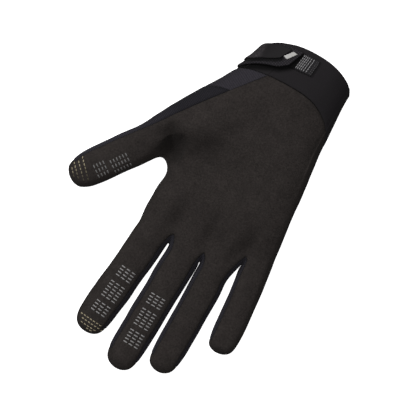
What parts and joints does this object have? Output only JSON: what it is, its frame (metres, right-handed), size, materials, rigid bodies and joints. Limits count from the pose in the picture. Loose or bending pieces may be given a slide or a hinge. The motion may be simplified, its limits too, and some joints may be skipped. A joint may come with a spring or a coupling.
{
  "type": "cycling glove",
  "caption": "Right-hand full-finger cycling glove with a suede palm, raised grip dashes, stretch side panels and a wrist strap closure.",
  "frame": {"origin": "under the middle of the glove, on the surface that its back rests on", "axes": "+Z out of the palm, +Y towards the cuff, -X towards the thumb"},
  "size_m": [0.15, 0.2352, 0.0381],
  "materials": {
    "suede": "brushed synthetic suede",
    "knit": "plain stretch knit",
    "side_knit": "fine stretch knit",
    "gusset_knit": "diagonal-ribbed stretch knit",
    "neoprene": "smooth padded jersey",
    "loop_tape": "ribbed loop tape",
    "strap_fabric": "coarse woven",
    "moulded_strap": "satin",
    "grey_tag": "woven tape, bare"
  },
  "bodies": {
    "root": {"palm_panel": "suede", "back_panel": "knit", "fourchette_index_middle": "side_knit", "fourchette_middle_ring": "side_knit", "fourchette_ring_little": "side_knit", "thumb_side_panel": "side_knit", "wrist_gusset": "gusset_knit", "cuff": "neoprene", "loop_patch": "loop_tape", "closure_strap": "strap_fabric", "strap_pad": "moulded_strap", "strap_label": "grey_tag"}
  },
  "joints": []
}
